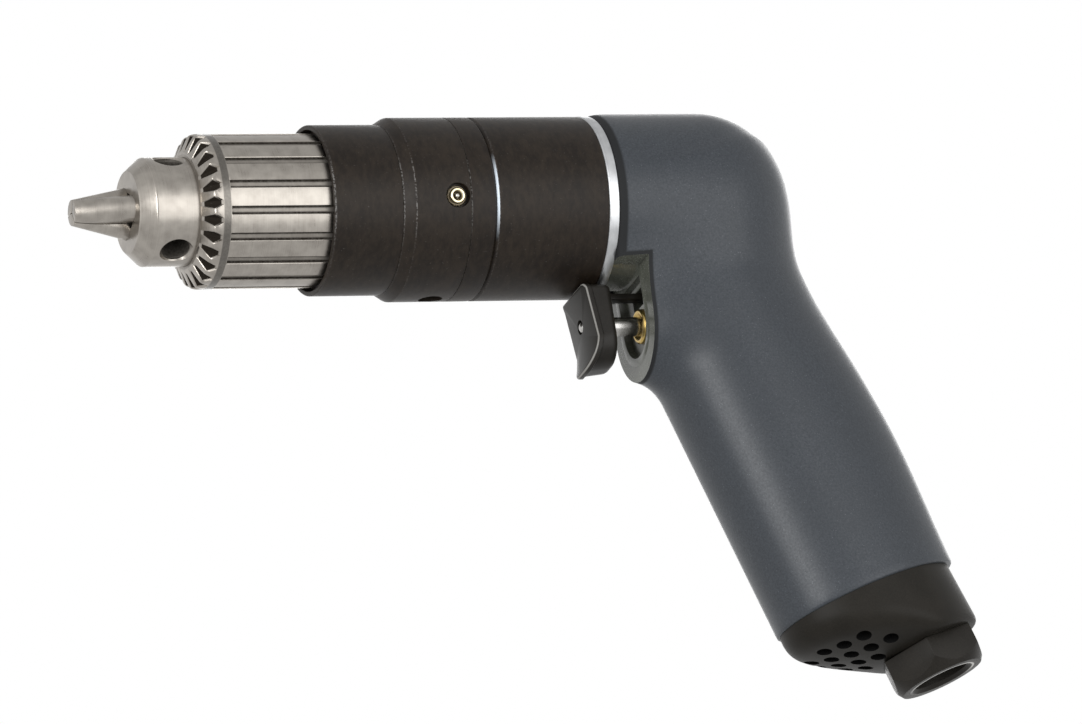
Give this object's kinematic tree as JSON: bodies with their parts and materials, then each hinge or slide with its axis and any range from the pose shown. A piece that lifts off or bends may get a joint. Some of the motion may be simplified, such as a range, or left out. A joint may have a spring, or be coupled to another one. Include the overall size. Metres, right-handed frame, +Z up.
{
  "type": "pistol-grip air drill",
  "caption": "Pistol-grip air drill with a keyed three-jaw chuck, dark barrel, moulded grey grip, push trigger and a threaded air inlet beside the exhaust cap.",
  "frame": {"origin": "point on the spindle axis where the closed jaw tips meet", "axes": "+X along the spindle, out of the chuck; +Z up, away from the handle; +Y to the tool's left"},
  "size_m": [0.1822, 0.0396, 0.1273],
  "materials": {
    "chuck_steel": "satin, machined",
    "bright_steel": "ground",
    "dark_housing": "satin black",
    "casting": "turned",
    "grip": "fine grain, slate grey",
    "black_plastic": "satin",
    "brass": "turned",
    "rubber": "smooth",
    "iron": "ground",
    "sintered_bronze": "porous, matt",
    "vane_fibre": "laminated fibre"
  },
  "bodies": {
    "tool_body": {"nose_cap": "dark_housing", "gear_case": "dark_housing", "grease_fitting": "brass", "grease_ball": "bright_steel", "locking_ring": "dark_housing", "motor_housing": "dark_housing", "handle_housing": "casting", "grip_cover": "grip", "throttle_bush": "brass", "rod_seal": "rubber", "valve_seat": "brass", "valve_spring": "bright_steel", "inlet_screen": "bright_steel", "inlet_bushing": "dark_housing", "inlet_seal": "rubber", "exhaust_cap": "black_plastic", "silencer": "sintered_bronze", "spindle_bearing": "bright_steel", "spindle_bush": "brass", "ring_gear": "iron", "front_end_plate": "iron", "rear_end_plate": "iron", "front_rotor_bearing": "bright_steel", "rear_rotor_bearing": "bright_steel", "motor_cylinder": "iron", "cylinder_dowel": "bright_steel"},
    "spindle": {"spindle": "bright_steel", "planet_pins": "bright_steel", "chuck_body": "chuck_steel"},
    "sleeve": {"chuck_sleeve": "chuck_steel", "chuck_nut": "iron"},
    "jaw_1": {"chuck_jaw_1": "chuck_steel"},
    "jaw_2": {"chuck_jaw_2": "chuck_steel"},
    "jaw_3": {"chuck_jaw_3": "chuck_steel"},
    "planet_1": {"planet_gear_1": "bright_steel"},
    "planet_2": {"planet_gear_2": "bright_steel"},
    "planet_3": {"planet_gear_3": "bright_steel"},
    "rotor": {"rotor": "bright_steel", "vanes": "vane_fibre", "rotor_pinion": "bright_steel"},
    "trigger": {"trigger": "black_plastic", "throttle_rod": "bright_steel"},
    "tilt_valve": {"valve_stem": "bright_steel", "valve_face": "rubber"}
  },
  "joints": [
    {"name": "spindle_spin", "type": "hinge", "parent": "tool_body", "child": "spindle", "pos_m": [0, 0, 0], "axis": [1, 0, 0], "continuous": true},
    {"name": "rotor_spin", "type": "hinge", "parent": "tool_body", "child": "rotor", "pos_m": [-0.1, 0, 0], "axis": [1, 0, 0], "continuous": true},
    {"name": "planet_1_spin", "type": "hinge", "parent": "spindle", "child": "planet_1", "pos_m": [-0.0728, 0, 0.00825], "axis": [1, 0, 0], "continuous": true},
    {"name": "planet_2_spin", "type": "hinge", "parent": "spindle", "child": "planet_2", "pos_m": [-0.0728, 0.00714, -0.00413], "axis": [1, 0, 0], "continuous": true},
    {"name": "planet_3_spin", "type": "hinge", "parent": "spindle", "child": "planet_3", "pos_m": [-0.0728, -0.00714, -0.00413], "axis": [1, 0, 0], "continuous": true},
    {"name": "sleeve_turn", "type": "hinge", "parent": "spindle", "child": "sleeve", "pos_m": [0, 0, 0], "axis": [1, 0, 0], "range_deg": [0, 3060]},
    {"name": "jaw_1_slide", "type": "slide", "parent": "spindle", "child": "jaw_1", "axis": [-0.9659, 0.2556, -0.0405], "range_m": [0, 0.01236]},
    {"name": "jaw_2_slide", "type": "slide", "parent": "spindle", "child": "jaw_2", "axis": [-0.9659, -0.1629, -0.2011], "range_m": [0, 0.01236]},
    {"name": "jaw_3_slide", "type": "slide", "parent": "spindle", "child": "jaw_3", "axis": [-0.9659, -0.0928, 0.2416], "range_m": [0, 0.01236]},
    {"name": "trigger_slide", "type": "slide", "parent": "tool_body", "child": "trigger", "axis": [-1, 0, 0], "range_m": [0, 0.0035], "stiffness_N_per_m": 900, "springref_m": -0.003},
    {"name": "valve_tilt", "type": "hinge", "parent": "tool_body", "child": "tilt_valve", "pos_m": [-0.14724, 0, -0.04314], "axis": [0, -1, 0], "range_deg": [0, 12], "deforming": ["valve_spring"]}
  ],
  "couplings": [
    {"joint": "rotor_spin", "follows": "spindle_spin", "ratio": 5},
    {"joint": "planet_1_spin", "follows": "spindle_spin", "ratio": -2.6667},
    {"joint": "planet_2_spin", "follows": "spindle_spin", "ratio": -2.6667},
    {"joint": "planet_3_spin", "follows": "spindle_spin", "ratio": -2.6667},
    {"joint": "jaw_1_slide", "follows": "sleeve_turn", "m_per_rad": 0.00023149},
    {"joint": "jaw_2_slide", "follows": "sleeve_turn", "m_per_rad": 0.00023149},
    {"joint": "jaw_3_slide", "follows": "sleeve_turn", "m_per_rad": 0.00023149},
    {"joint": "valve_tilt", "follows": "trigger_slide", "rad_per_m": 59.83}
  ]
}
